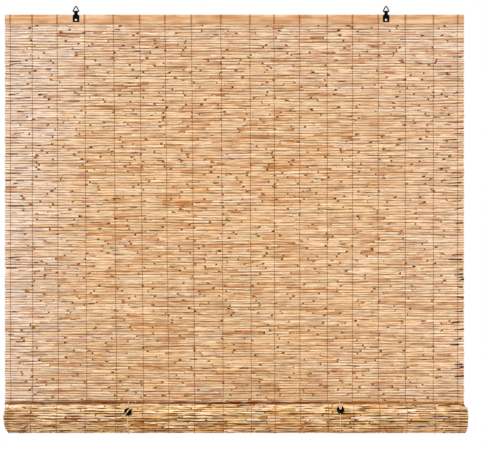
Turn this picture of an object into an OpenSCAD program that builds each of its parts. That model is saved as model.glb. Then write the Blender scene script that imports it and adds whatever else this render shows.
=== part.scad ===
// Reed roll up blind, hung by two rings and tied up part of the way.
// +X runs along the width, +Y points to the wall and +Z points up.
// The origin is the middle of the hanging line, where hooks bear on the inside of the rings.

/* [Blind] */
// Width of the mat and of both battens
blind_w = 1000; // [600:10:1800]
// Rows of reeds in the hanging panel
panel_rows = 158; // [60:1:300]
// Half-turns of mat wound on the roll
roll_half_turns = 5; // [3:1:8]

/* [Battens] */
// Height of a batten's face
batten_h = 20; // [18:0.5:30]
// Thickness of a batten
batten_t = 10; // [9:0.5:14]
// Radius of a batten's rounded long edges
batten_edge_r = 1; // [0.4:0.1:2]

/* [Reeds] */
// Diameter of the thinnest reeds
reed_d = 5.5; // [4:0.1:8]
// Extra thickness of the thickest reeds
reed_growth = 0.4; // [0.1:0.1:0.8]
// Depth by which the thinnest reeds bed into each other
reed_bedding = 0.1; // [0.05:0.05:0.4]
// Free space between two turns of the roll
turn_gap = 0.2; // [0.1:0.05:1]
// Number of light gaps between reeds
gap_count = 108; // [0:1:116]
// Height of a light gap
gap_h = 0.8; // [0.5:0.1:1.4]
// Length of a light gap
gap_l = 38; // [10:1:44]

/* [Binding twine] */
// Diameter of a twine strand
twine_d = 0.7; // [0.5:0.1:1.2]
// Clearance between a strand and what it binds
twine_clearance = 0.05; // [0.02:0.01:0.1]

/* [Hangers] */
// Width of a hanger plate
plate_w = 14.4; // [11:0.2:16]
// Height of a hanger plate
plate_h = 14.9; // [13:0.1:15.6]
// Thickness of the hanger's sheet steel
plate_t = 1; // [0.8:0.1:1.4]
// Radius of a hanger plate's corners
plate_corner_r = 1.2; // [0.5:0.1:2]
// Distance from the batten's top edge down to the plate
plate_drop = 1.2; // [1:0.2:4]
// Height of the sloping shoulders between neck and plate
shoulder_h = 2.4; // [1:0.2:3]
// Width of the neck that folds round the ring
neck_w = 7.4; // [6:0.1:7.4]
// Length of the folded end that lies on the plate
tongue_l = 7; // [4:0.5:8]
// Slope of the folded end between the ring and the plate, in degrees
tongue_slope = 35; // [25:1:50]
// Height of the ring's bar above the batten's top edge
eye_rise = 6; // [5:0.5:10]
// Clearance between the ring's bar and the fold round it
eye_clearance = 0.08; // [0.03:0.01:0.1]

/* [Rings] */
// Diameter of the ring's wire
wire_d = 2.6; // [1.6:0.1:2.8]
// Radius of the ring's bends at the middle of the wire
ring_bend_r = 1.8; // [1.4:0.1:2.4]
// Straight length of the ring's bar
ring_bar_l = 8.4; // [7.6:0.1:10]
// Height from the lower bends to the top bend
ring_rise = 7.8; // [6:0.2:12]

/* [Bends of wire, twine and cord] */
// Thinning at a bend, on the radius
bend_thinning = 0.04; // [0.03:0.01:0.1]
// Length by which a straight stretch laps over the start of a bend
bend_lap = 0.2; // [0.1:0.05:0.3]

/* [Screws] */
// Diameter of a screw's shank
screw_d = 3; // [2.5:0.1:3.4]
// Length of a screw under its head
screw_l = 9; // [6:0.5:9]
// Diameter of a screw's head
screw_head_d = 5.2; // [5:0.1:6.4]
// Height of a screw's head
screw_head_h = 1.9; // [1.5:0.1:2.4]
// Height of the head's straight rim
screw_rim_h = 0.7; // [0.4:0.1:1]
// Length of the head's cross recess
recess_l = 3; // [2:0.1:3.4]
// Width of the head's cross recess
recess_w = 0.7; // [0.5:0.1:1]
// Depth of the head's cross recess
recess_depth = 0.9; // [0.5:0.1:1.1]
// Distance from the plate's lower edge up to the screw
screw_edge = 4.4; // [3.5:0.1:5]
// Clearance round a screw's shank
screw_clearance = 0.05; // [0.02:0.01:0.1]

/* [Ties] */
// Diameter of a tie cord
tie_d = 2.4; // [1.6:0.1:3]
// Clearance between a tie cord and the reeds
tie_clearance = 0.05; // [0.02:0.01:0.2]
// Clearance round a tie cord in the mat's notch
notch_clearance = 0.5; // [0.3:0.1:1]
// Height of the left toggle round the roll, in degrees above its axis
toggle_lift_left = 26; // [5:1:50]
// Height of the right toggle round the roll, in degrees above its axis
toggle_lift_right = 34; // [5:1:50]
// Turn of the left toggle's slot away from upwards, in degrees
toggle_turn_left = 135; // [0:5:360]
// Turn of the right toggle's slot away from upwards, in degrees
toggle_turn_right = 0; // [0:5:360]

/* [Toggles] */
// Diameter of a toggle
toggle_d = 16; // [12:0.5:20]
// Thickness of a toggle's rim
toggle_rim_t = 3; // [2:0.2:4]
// Height of the dome on a toggle's front
toggle_dome_h = 1.6; // [1:0.1:2.4]
// Width of a toggle's slot
slot_w = 4; // [2.6:0.1:5]

/* [Hidden] */
$fn = 48;
// Length by which every cut runs past the faces that it opens
overrun = 1;

// Places of the twines, as shares of the width from the left end
twine_shares = [0.012, 0.060, 0.115, 0.176, 0.240, 0.298, 0.353, 0.410, 0.473,
                0.535, 0.587, 0.642, 0.702, 0.757, 0.813, 0.872, 0.933, 0.986];
twine_count = len(twine_shares);

// Bays that hold the hangers and the ties, and their places across the bay
hanger_bays = [2, 14];
hanger_bay_shares = [0.656, 0.288];
tie_bays = [4, 12];
tie_bay_shares = [0.53, 0.475];

// Seeds that scatter the light gaps and the thicknesses of the reeds
gap_seed = 12;
reed_seed = 5;

// Depth of a toggle's slot, as a share of the toggle's diameter
slot_share = 0.6;

// The hook's bearing point is at zero, and the ring's bar and the batten lie below it
bar_z = -(ring_rise + 2 * ring_bend_r - wire_d / 2);
eye_in_r = wire_d / 2 + eye_clearance;
eye_out_r = eye_in_r + plate_t;
batten_top_z = bar_z - eye_rise;
batten_bottom_z = batten_top_z - batten_h;
batten_y = eye_out_r + batten_t / 2;

// Hanger plate on the batten's front face
plate_top_z = batten_top_z - plate_drop;
plate_bottom_z = plate_top_z - plate_h;
plate_front_y = eye_in_r;
screw_z = plate_bottom_z + screw_edge;

// Reed panel, hanging in the batten's middle plane
thick_d = reed_d + reed_growth;
reed_pitch = reed_d - reed_bedding;
panel_lead = twine_d + 2 * twine_clearance;
panel_l = panel_lead + (panel_rows - 1) * reed_pitch + thick_d;
roll_z = batten_bottom_z - panel_l;

// Roll, made of half-turns whose radii step down towards the core
turn_step = thick_d + 2 * (twine_d + twine_clearance) + turn_gap;
wrap_out = twine_d + twine_clearance;
wrap_w = 2 * twine_d;
core_clear_r = norm([batten_h / 2 + wrap_out, batten_t / 2 + wrap_out]) + turn_gap;
core_r = core_clear_r + wrap_out + thick_d / 2;
roll_lead = thick_d / 2 + turn_gap;
roll_tail = thick_d / 2 + wrap_out;
strand_offset = thick_d / 2 + twine_clearance + twine_d / 2;

function is_lower(k) = k % 2 == 1;
function turn_r(k) = core_r + (roll_half_turns - k) * turn_step / 2;
function turn_end_y(k) = k == 0 ? batten_y : turn_end_y(k - 1) + (is_lower(k) ? -2 : 2) * turn_r(k);
function turn_y(k) = (turn_end_y(k - 1) + turn_end_y(k)) / 2;
function turn_start(k) = k <= 1 ? 0 : turn_start(k - 1) + PI * turn_r(k - 1);
function turn_at(s, k = 1) = k == roll_half_turns || s < turn_start(k + 1) ? k : turn_at(s, k + 1);
function turn_angle(s, k) = (is_lower(k) ? 0 : 180) - (s - turn_start(k)) / turn_r(k) * 180 / PI;
function on_circle(y, z, r, angle) = [y + r * cos(angle), z + r * sin(angle)];
function roll_point(s) = let (k = turn_at(s)) on_circle(turn_y(k), roll_z, turn_r(k), turn_angle(s, k));

roll_l = turn_start(roll_half_turns + 1);
roll_rows = 1 + floor((roll_l - roll_tail - roll_lead) / reed_pitch);
core_y = turn_y(roll_half_turns);

function reed_diameters(rows, seed) = [for (share = rands(0, 1, rows, seed)) reed_d + share * reed_growth];
panel_reed_d = reed_diameters(panel_rows, reed_seed);
roll_reed_d = reed_diameters(roll_rows, reed_seed + 1);

function row_z(row) = batten_bottom_z - panel_lead - thick_d / 2 - row * reed_pitch;
function twine_x(t) = (twine_shares[t] - 1 / 2) * blind_w;
function bay_x(bay, share) = twine_x(bay) + share * (twine_x(bay + 1) - twine_x(bay));
function hanger_x(side) = bay_x(hanger_bays[side], hanger_bay_shares[side]);
function tie_x(side) = bay_x(tie_bays[side], tie_bay_shares[side]);

// Tie cord: over the roll's top, through the mat above one reed, down the back and round below
tie_offset = thick_d / 2 + tie_clearance + tie_d / 2;
tie_top_r = turn_r(2) + tie_offset;
tie_low_r = turn_r(1) + tie_offset;
tie_row = panel_rows - 1 - ceil((turn_r(2) - thick_d / 2) / reed_pitch);
tie_run = [batten_y - turn_y(2), row_z(tie_row) - roll_z];
tie_angle = atan2(tie_run[1], tie_run[0]) + acos(turn_r(2) / norm(tie_run));
tie_straight_l = sqrt(norm(tie_run) ^ 2 - turn_r(2) ^ 2);

sides = ["left", "right"];
function twine_name(t) = str("binding_twine_", t < 9 ? "0" : "", t + 1);
function side_name(piece, side) = str(piece, "_", sides[side]);

// Draws a profile of [y, z] points and stretches it along the blind's width
module along_width(w) {
  rotate([90, 0, 90]) linear_extrude(w, center = true) children();
}

// Bend of round section about the Z axis, from one angle to another, a little thinner than straight stock
module round_bend(r, d, from, to) {
  rotate(from) rotate_extrude(angle = to - from) translate([r, 0]) circle(d = d - 2 * bend_thinning);
}

// The same bend about the X axis, with its angles counted from +Y towards +Z
module bend_about_x(r, d, from, to) {
  rotate([90, 0, 90]) round_bend(r, d, from, to);
}

// Straight upright stretch of round section that laps over the bends at both its ends
module straight_run(d, h = 0) {
  translate([0, 0, -bend_lap]) cylinder(d = d, h = h + 2 * bend_lap);
}

// Rectangle about the origin with round corners
module rounded_rectangle(size, r) {
  square([size[0] - 2 * r, size[1]], center = true);
  square([size[0], size[1] - 2 * r], center = true);
  for (x = [-1, 1], y = [-1, 1])
    translate([x * (size[0] / 2 - r), y * (size[1] / 2 - r)]) circle(r);
}

module batten_profile(grow = 0) {
  rounded_rectangle([batten_t + 2 * grow, batten_h + 2 * grow], batten_edge_r + grow);
}

module at_head_batten() {
  translate([0, batten_y, batten_top_z - batten_h / 2]) children();
}

// The bottom batten lies flat in the core of the roll
module at_bottom_batten() {
  translate([0, core_y, roll_z]) rotate([90, 0, 0]) children();
}

module head_batten() {
  color([0.87, 0.67, 0.49]) difference() {
    at_head_batten() along_width(blind_w) batten_profile();
    for (side = [0, 1]) translate([hanger_x(side), plate_front_y, screw_z]) rotate([-90, 0, 0])
      cylinder(d = screw_d + 2 * screw_clearance, h = screw_l + screw_clearance);
  }
}

module bottom_batten() {
  color([0.82, 0.63, 0.45]) at_bottom_batten() along_width(blind_w) batten_profile();
}

// Light gaps are scattered over the panel, each between two rows of reeds
module light_gaps() {
  reach = (blind_w - gap_l) / 2;
  rows = rands(0, panel_rows - 1, gap_count, gap_seed);
  places = rands(-reach, reach, gap_count, gap_seed + 1);
  for (g = [0:1:gap_count - 1])
    translate([places[g], batten_y, row_z(floor(rows[g])) - reed_pitch / 2])
      cube([gap_l, thick_d + 2 * overrun, gap_h], center = true);
}

// Notches above one reed, where the tie cords go through the mat
module tie_notches() {
  w = tie_d + 2 * notch_clearance;
  h = tie_offset + tie_d / 2 + notch_clearance - reed_pitch / 2;
  for (side = [0, 1])
    translate([tie_x(side), batten_y, row_z(tie_row) + (reed_pitch + h) / 2])
      cube([w, thick_d + 2 * overrun, h], center = true);
}

module mat_panel() {
  color([0.84, 0.68, 0.51]) difference() {
    along_width(blind_w)
      for (row = [0:panel_rows - 1]) translate([batten_y, row_z(row)]) circle(d = panel_reed_d[row]);
    light_gaps();
    tie_notches();
  }
}

module mat_roll() {
  color([0.76, 0.60, 0.43]) along_width(blind_w)
    for (row = [0:roll_rows - 1])
      translate(roll_point(roll_lead + row * reed_pitch)) circle(d = roll_reed_d[row]);
}

// Flat wrap of twine round a batten
module batten_wrap() {
  along_width(wrap_w) difference() {
    batten_profile(wrap_out);
    batten_profile(twine_clearance);
  }
}

// One strand along one face of the mat: down the panel and round every half-turn of the roll
module twine_strand(offset) {
  translate([0, batten_y + offset, roll_z]) straight_run(twine_d, panel_l - wrap_out);
  for (k = [1:roll_half_turns]) {
    outwards = is_lower(k) ? -1 : 1;
    translate([0, turn_y(k), roll_z])
      bend_about_x(turn_r(k) + offset, twine_d, is_lower(k) ? 180 : 0, is_lower(k) ? 360 : 180);
    translate([0, turn_end_y(k) + outwards * offset, roll_z]) straight_run(twine_d);
  }
}

// Short end of twine from the mat's last reed to the bottom batten
module twine_end() {
  inner = batten_h / 2 + twine_clearance + twine_d / 2;
  outer = core_r + strand_offset;
  side = is_lower(roll_half_turns) ? -1 : 1;
  translate([0, core_y + side * (inner + outer) / 2, roll_z])
    cube([wrap_w, outer - inner, twine_d], center = true);
}

module binding_twine(t) {
  color([0.42, 0.26, 0.15]) translate([twine_x(t), 0, 0]) {
    at_head_batten() batten_wrap();
    for (face = [-1, 1]) twine_strand(face * strand_offset);
    twine_end();
    at_bottom_batten() batten_wrap();
  }
}

// Outline of the plate with its sloping shoulders, about the middle of its top edge
module plate_outline() {
  translate([0, -plate_h / 2]) rounded_rectangle([plate_w, plate_h], plate_corner_r);
  shoulder_w = plate_w - 2 * plate_corner_r;
  polygon([[-shoulder_w / 2, 0], [-neck_w / 2, shoulder_h], [neck_w / 2, shoulder_h], [shoulder_w / 2, 0],
           [shoulder_w / 2, -plate_corner_r], [-shoulder_w / 2, -plate_corner_r]]);
}

// Neck that rises from the plate, folds over the ring's bar and comes back down on the plate
module folded_neck() {
  slope_l = eye_in_r * (1 + cos(tongue_slope)) / sin(tongue_slope);
  tongue_z = -eye_in_r * sin(tongue_slope) - slope_l * cos(tongue_slope);
  translate([-neck_w / 2, eye_in_r, -eye_rise - plate_drop]) cube([neck_w, plate_t, eye_rise + plate_drop]);
  rotate([90, 0, 90]) rotate_extrude(angle = 180 + tongue_slope)
    translate([eye_in_r, -neck_w / 2]) square([plate_t, neck_w]);
  along_width(neck_w) {
    rotate(tongue_slope) translate([-eye_out_r, -slope_l]) square([plate_t, slope_l]);
    translate([eye_in_r - plate_t, tongue_z - tongue_l]) square([plate_t, tongue_l]);
  }
}

module hanger_plate(side) {
  color([0.13, 0.13, 0.14]) translate([hanger_x(side), 0, 0]) difference() {
    union() {
      translate([0, eye_out_r, plate_top_z]) rotate([90, 0, 0]) linear_extrude(plate_t) plate_outline();
      translate([0, 0, bar_z]) folded_neck();
    }
    translate([0, plate_front_y - overrun, screw_z]) rotate([-90, 0, 0])
      cylinder(d = screw_d + 2 * screw_clearance, h = plate_t + 2 * overrun);
  }
}

// Ring of bent wire in the XZ plane, with its bar's axis through the origin
module ring_wire() {
  lean = atan2(ring_bar_l / 2, ring_rise);
  side_l = norm([ring_bar_l / 2, ring_rise]);
  translate([-ring_bar_l / 2, 0, 0]) rotate([0, 90, 0]) straight_run(wire_d, ring_bar_l);
  translate([0, 0, ring_bend_r + ring_rise]) rotate([90, 0, 0])
    round_bend(ring_bend_r, wire_d, lean, 180 - lean);
  for (turn = [0, 1]) mirror([turn, 0, 0]) translate([ring_bar_l / 2, 0, ring_bend_r]) {
    rotate([90, 0, 0]) round_bend(ring_bend_r, wire_d, -90, lean);
    rotate([0, -lean, 0]) translate([ring_bend_r, 0, 0]) straight_run(wire_d, side_l);
  }
}

module hanger_ring(side) {
  color([0.16, 0.16, 0.17]) translate([hanger_x(side), 0, bar_z]) ring_wire();
}

// Pan head with a cross recess, its seat at zero and its top at the head's height
module screw_head() {
  dome_h = screw_head_h - screw_rim_h;
  dome_r = ((screw_head_d / 2) ^ 2 + dome_h ^ 2) / (2 * dome_h);
  difference() {
    intersection() {
      cylinder(d = screw_head_d, h = screw_head_h);
      translate([0, 0, screw_head_h - dome_r]) sphere(dome_r);
    }
    for (turn = [0, 90]) rotate(turn)
      translate([-recess_l / 2, -recess_w / 2, screw_head_h - recess_depth])
        cube([recess_l, recess_w, recess_depth + overrun]);
  }
}

module hanger_screw(side) {
  color([0.80, 0.79, 0.77]) translate([hanger_x(side), plate_front_y, screw_z]) rotate([90, 0, 0]) {
    screw_head();
    translate([0, 0, -screw_l]) cylinder(d = screw_d, h = screw_l);
  }
}

module tie_cord(side) {
  color([0.93, 0.82, 0.68]) translate([tie_x(side), 0, 0]) {
    translate([0, turn_y(1), roll_z]) bend_about_x(tie_low_r, tie_d, 180, 360);
    translate([0, turn_end_y(1) - tie_offset, roll_z]) straight_run(tie_d);
    translate([0, turn_y(2), roll_z]) {
      bend_about_x(tie_top_r, tie_d, tie_angle, 180);
      rotate([tie_angle - 180, 0, 0]) translate([0, -tie_top_r, 0]) straight_run(tie_d, tie_straight_l);
    }
    translate([0, batten_y, row_z(tie_row)]) bend_about_x(tie_offset, tie_d, 0, tie_angle);
    translate([0, batten_y + tie_offset, roll_z]) straight_run(tie_d, tie_run[1]);
  }
}

// Slotted disc with a domed front, its back at zero and its slot open upwards
module toggle_disc() {
  dome_r = ((toggle_d / 2) ^ 2 + toggle_dome_h ^ 2) / (2 * toggle_dome_h);
  thickness = toggle_rim_t + toggle_dome_h;
  slot_end = toggle_d * (1 / 2 - slot_share) + slot_w / 2;
  difference() {
    intersection() {
      cylinder(d = toggle_d, h = thickness);
      translate([0, 0, thickness - dome_r]) sphere(dome_r);
    }
    translate([0, slot_end, -overrun]) cylinder(d = slot_w, h = thickness + 2 * overrun);
    translate([-slot_w / 2, slot_end, -overrun]) cube([slot_w, toggle_d, thickness + 2 * overrun]);
  }
}

module cord_toggle(side) {
  lift = [toggle_lift_left, toggle_lift_right][side];
  turn = [toggle_turn_left, toggle_turn_right][side];
  seat = tie_top_r + tie_d / 2 + tie_clearance;
  color([0.10, 0.10, 0.11]) translate([tie_x(side), turn_y(2), roll_z])
    rotate([90 - lift, 0, 0]) translate([0, 0, seat]) rotate(turn) toggle_disc();
}

head_batten();
mat_panel();
mat_roll();
bottom_batten();
for (t = [0:twine_count - 1])
  binding_twine(t);
for (side = [0, 1]) {
  hanger_plate(side);
  hanger_ring(side);
  hanger_screw(side);
  tie_cord(side);
  cord_toggle(side);
}
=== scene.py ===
"""Looks of a reed roll up blind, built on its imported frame.

Frame: +X runs along the width, +Y to the wall and +Z up. The origin is the middle of the hanging line.
Lengths are in metres. What differs between the panel and the roll is kept as a pair in that order.
"""

import random
from math import acos, atan2, ceil, cos, dist, exp, hypot, pi, radians, sin

import bpy
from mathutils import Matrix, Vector, noise


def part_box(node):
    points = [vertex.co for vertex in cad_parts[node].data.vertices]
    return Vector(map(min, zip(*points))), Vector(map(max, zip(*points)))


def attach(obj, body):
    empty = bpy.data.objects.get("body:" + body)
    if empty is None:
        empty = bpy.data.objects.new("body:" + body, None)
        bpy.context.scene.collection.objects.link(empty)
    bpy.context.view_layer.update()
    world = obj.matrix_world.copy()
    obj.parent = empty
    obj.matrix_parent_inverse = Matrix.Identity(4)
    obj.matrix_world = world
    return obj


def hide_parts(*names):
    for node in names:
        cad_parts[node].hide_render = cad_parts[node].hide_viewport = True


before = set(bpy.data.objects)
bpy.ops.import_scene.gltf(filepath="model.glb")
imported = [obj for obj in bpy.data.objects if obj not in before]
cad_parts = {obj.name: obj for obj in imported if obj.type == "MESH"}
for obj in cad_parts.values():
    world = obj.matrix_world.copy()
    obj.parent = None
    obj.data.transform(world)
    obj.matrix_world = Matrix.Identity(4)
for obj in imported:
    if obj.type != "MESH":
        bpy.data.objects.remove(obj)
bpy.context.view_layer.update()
scene = bpy.context.scene

MM = 0.001


def mm(*sizes):
    """Sizes in millimetres, as a tuple in metres."""
    return tuple(size * MM for size in sizes)


# The mat's layout, as in the solids
PANEL_ROWS = 158
REED_PITCH = 5.4 * MM
REED_D = 5.9 * MM
TWINE_D = 0.7 * MM
TWINE_CLEARANCE = 0.05 * MM
TURN_GAP = 0.2 * MM
HALF_TURNS = 5
TWINE_COUNT = 18

batten_low, batten_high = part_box("head_batten")
BATTEN_H = batten_high.z - batten_low.z
BATTEN_T = batten_high.y - batten_low.y
MAT_Y = (batten_low.y + batten_high.y) / 2
HALF_W = (batten_high.x - batten_low.x) / 2

TWINE_LEAD = TWINE_D + 2 * TWINE_CLEARANCE
TWINE_OUT = TWINE_D + TWINE_CLEARANCE
FIRST_ROW_Z = batten_low.z - TWINE_LEAD - REED_D / 2
ROLL_Z = batten_low.z - TWINE_LEAD - (PANEL_ROWS - 1) * REED_PITCH - REED_D
ROLL_LEAD = REED_D / 2 + TURN_GAP
TURN_STEP = REED_D + 2 * TWINE_OUT + TURN_GAP
CORE_CLEAR_R = hypot(BATTEN_H / 2 + TWINE_OUT, BATTEN_T / 2 + TWINE_OUT) + TURN_GAP
CORE_R = CORE_CLEAR_R + TWINE_OUT + REED_D / 2


def turn_radius(turn):
    return CORE_R + (HALF_TURNS - turn) * TURN_STEP / 2


def turn_centre_y(turn):
    """The roll's half turns are centred by turns on two points, so that they join into a spiral."""
    first = MAT_Y - turn_radius(1)
    return first if turn % 2 else first - TURN_STEP / 2


ROLL_L = sum(pi * turn_radius(turn) for turn in range(1, HALF_TURNS + 1))
ROLL_ROWS = int((ROLL_L - ROLL_LEAD - REED_D / 2) / REED_PITCH) + 1
ALL_ROWS = PANEL_ROWS + ROLL_ROWS
# The rows down to a little past the roll's outer turn
SEEN_ROWS = PANEL_ROWS + 38
# The row that the tie cords go over, at the crease between the panel and the roll
TIE_ROW = PANEL_ROWS - 1 - ceil((turn_radius(2) - REED_D / 2) / REED_PITCH)


def mat_place(row):
    """Centre (y, z) and outer normal (y, z) of the mat at a row, which may lie between two rows."""
    if row <= PANEL_ROWS - 0.5:
        return (MAT_Y, FIRST_ROW_Z - row * REED_PITCH), (1.0, 0.0)
    run = ROLL_LEAD + (row - PANEL_ROWS) * REED_PITCH
    turn = 1
    while turn < HALF_TURNS and run > pi * turn_radius(turn):
        run -= pi * turn_radius(turn)
        turn += 1
    radius = turn_radius(turn)
    angle = (0 if turn % 2 else pi) - run / radius
    normal = (cos(angle), sin(angle))
    return (turn_centre_y(turn) + radius * normal[0], ROLL_Z + radius * normal[1]), normal


def mat_point(x, row, lift):
    """The point at x on the line of a row, so far out of the mat's middle."""
    (y, z), (out_y, out_z) = mat_place(row)
    return Vector((x, y + out_y * lift, z + out_z * lift))


def is_rolled(row):
    """Whether a row is on the roll, which picks one of a pair of values."""
    return row >= PANEL_ROWS


def clamp(share):
    return min(1.0, max(0.0, share))


def blend(pair, share):
    """A value between the two of a pair."""
    return pair[0] * (1 - share) + pair[1] * share


def two(dice, limits, scale=1):
    """Two values drawn from between limits, one for each end of a stem."""
    return [scale * dice.uniform(*limits) for _ in range(2)]


def linear(red, green, blue):
    """A colour given in 0-255 sRGB, as linear light."""
    def channel(value):
        share = value / 255
        return share / 12.92 if share <= 0.04045 else ((share + 0.055) / 1.055) ** 2.4
    return channel(red), channel(green), channel(blue)


def mixed(colour, other, share):
    """A colour between two others."""
    return tuple(blend(parts, share) for parts in zip(colour, other))


def shaded(colour, shade):
    """A colour in part shade, which grows warmer as it darkens."""
    return tuple(part * shade ** power for part, power in zip(colour, (1.0, 1.3, 1.8)))


def heading(path, i, closed):
    """The direction of a path at one of its points."""
    count = len(path)
    before = path[i - 1] if closed or i else path[0]
    after = path[(i + 1) % count] if closed or i < count - 1 else path[-1]
    return (after - before).normalized()


def add_object(name, data):
    """Puts a new object into the scene."""
    holder = bpy.data.objects.new(name, data)
    scene.collection.objects.link(holder)
    return holder


class Mesh:
    """Collects vertices and faces of one piece, with a colour for each vertex."""

    SHARP_ANGLE = radians(55)

    def __init__(self, name):
        self.name = name
        self.points = []
        self.colours = []
        self.flanks = []
        self.faces = []
        self.slots = []

    def ring(self, points, colour, flanks=None):
        """Adds a ring of vertices and returns their numbers.

        Flanks say how far each one is off the mat's faces.
        """
        first = len(self.points)
        self.points.extend(points)
        self.colours.extend([colour] * len(points))
        self.flanks.extend(flanks or [0.0] * len(points))
        return list(range(first, len(self.points)))

    def bridge(self, ring, other, slot=0):
        """Joins two rings of the same count by a band of faces."""
        count = len(ring)
        for i in range(count):
            k = (i + 1) % count
            self.faces.append((ring[i], ring[k], other[k], other[i]))
            self.slots.append(slot)

    def fan(self, ring, point, colour, slot=0, turned=False):
        """Closes a ring with triangles to one point."""
        tip = self.ring([point], colour)[0]
        count = len(ring)
        for i in range(count):
            pair = (ring[i], ring[(i + 1) % count])
            self.faces.append((pair[1], pair[0], tip) if turned else (pair[0], pair[1], tip))
            self.slots.append(slot)

    def tube(self, path, radius, sides, colour=(1, 1, 1, 0), closed=False):
        """A round tube along a path, with its ends closed unless the path is a loop."""
        rings = []
        side = heading(path, 0, closed).orthogonal().normalized()
        for i, point in enumerate(path):
            ahead = heading(path, i, closed)
            side = (side - ahead * side.dot(ahead)).normalized()
            other = ahead.cross(side)
            thick = radius[i] if isinstance(radius, list) else radius
            corners = []
            for k in range(sides):
                angle = 2 * pi * k / sides
                corners.append(point + (side * cos(angle) + other * sin(angle)) * thick)
            rings.append(self.ring(corners, colour))
        for ring, following in zip(rings, rings[1:]):
            self.bridge(ring, following)
        if closed:
            self.close_loop(rings, sides)
        else:
            self.fan(rings[0], path[0], colour, turned=True)
            self.fan(rings[-1], path[-1], colour)

    def close_loop(self, rings, sides):
        """Joins the last ring to the first at the turn where their corners meet best."""
        last = [self.points[i] for i in rings[-1]]
        first = [self.points[i] for i in rings[0]]

        def misfit(shift):
            return sum((last[i] - first[(i + shift) % sides]).length for i in range(sides))

        shift = min(range(sides), key=misfit)
        self.bridge(rings[-1], rings[0][shift:] + rings[0][:shift])

    def build(self, *materials):
        mesh = bpy.data.meshes.new(self.name)
        mesh.from_pydata(self.points, [], self.faces)
        mesh.polygons.foreach_set("use_smooth", [True] * len(self.faces))
        mesh.polygons.foreach_set("material_index", self.slots)
        tint = mesh.attributes.new("tint", "FLOAT_COLOR", "POINT")
        tint.data.foreach_set("color", [value for colour in self.colours for value in colour])
        flank = mesh.attributes.new("flank", "FLOAT", "POINT")
        flank.data.foreach_set("value", self.flanks)
        for material in materials:
            mesh.materials.append(material)
        mesh.set_sharp_from_angle(angle=self.SHARP_ANGLE)
        mesh.update()
        return add_object(self.name, mesh)


def set_inputs(node, values):
    """Sets a node's inputs by their names."""
    for name, value in values.items():
        node.inputs[name].default_value = value


class Nodes:
    """A node tree, put together node by node."""

    def __init__(self, tree):
        self.tree = tree

    def add(self, kind, **settings):
        node = self.tree.nodes.new(kind)
        for key, value in settings.items():
            setattr(node, key, value)
        return node

    def link(self, output, node_input):
        self.tree.links.new(output, node_input)

    def spread(self, value, low, high, to_low, to_high):
        """Maps a value's range to another one, clamped."""
        node = self.add("ShaderNodeMapRange")
        set_inputs(node, {"From Min": low, "From Max": high, "To Min": to_low, "To Max": to_high})
        self.link(value, node.inputs["Value"])
        return node.outputs["Result"]


class Shader(Nodes):
    """A procedural material."""

    def __init__(self, name, roughness, metallic=0.0, specular=0.5):
        self.material = bpy.data.materials.new(name)
        self.material.use_nodes = True
        super().__init__(self.material.node_tree)
        self.surface = self.tree.nodes["Principled BSDF"]
        looks = {"Roughness": roughness, "Metallic": metallic, "Specular IOR Level": specular}
        set_inputs(self.surface, looks)
        self.place = self.add("ShaderNodeTexCoord").outputs["Object"]

    def noise(self, scale, detail=3.0, shift=None, roughness=0.5):
        """Noise with its own scale along each axis, moved by shift where one is given."""
        stretch = self.add("ShaderNodeVectorMath", operation="MULTIPLY")
        stretch.inputs[1].default_value = scale
        self.link(self.place, stretch.inputs[0])
        place = stretch.outputs["Vector"]
        if shift is not None:
            move = self.add("ShaderNodeVectorMath", operation="ADD")
            self.link(place, move.inputs[0])
            self.link(shift, move.inputs[1])
            place = move.outputs["Vector"]
        node = self.add("ShaderNodeTexNoise")
        set_inputs(node, {"Scale": 1.0, "Detail": detail, "Roughness": roughness})
        self.link(place, node.inputs["Vector"])
        return node.outputs["Fac"]

    def ramp(self, value, *stops):
        """A colour ramp of (position, linear colour) stops."""
        node = self.add("ShaderNodeValToRGB")
        marks = node.color_ramp.elements
        while len(marks) < len(stops):
            marks.new(0.5)
        for mark, (position, colour) in zip(marks, stops):
            mark.position = position
            mark.color = (*colour, 1)
        self.link(value, node.inputs["Fac"])
        return node.outputs["Color"]

    def mix(self, share, base, top, how="MIX"):
        """Mixes a colour, or a socket, over another one."""
        node = self.add("ShaderNodeMix", data_type="RGBA", blend_type=how)
        # The node's sockets for colours go by number, because those for plain values share their names
        for value, key in ((share, 0), (base, 6), (top, 7)):
            if isinstance(value, bpy.types.NodeSocket):
                self.link(value, node.inputs[key])
            elif key:
                node.inputs[key].default_value = (*value, 1)
            else:
                node.inputs[key].default_value = value
        return node.outputs[2]

    def colour(self, value):
        self.link(value, self.surface.inputs["Base Color"])

    def rough(self, value):
        self.link(value, self.surface.inputs["Roughness"])

    def bump(self, height, depth):
        node = self.add("ShaderNodeBump")
        set_inputs(node, {"Strength": 1.0, "Distance": depth})
        self.link(height, node.inputs["Height"])
        self.link(node.outputs["Normal"], self.surface.inputs["Normal"])


# Depths of the surfaces' grain
FINE_GRAIN = 0.02 * MM
PEEL_GRAIN = 0.03 * MM
WOOD_GRAIN = 0.1 * MM
FIBRE_GRAIN = 0.12 * MM
CORD_GRAIN = 0.14 * MM


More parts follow.
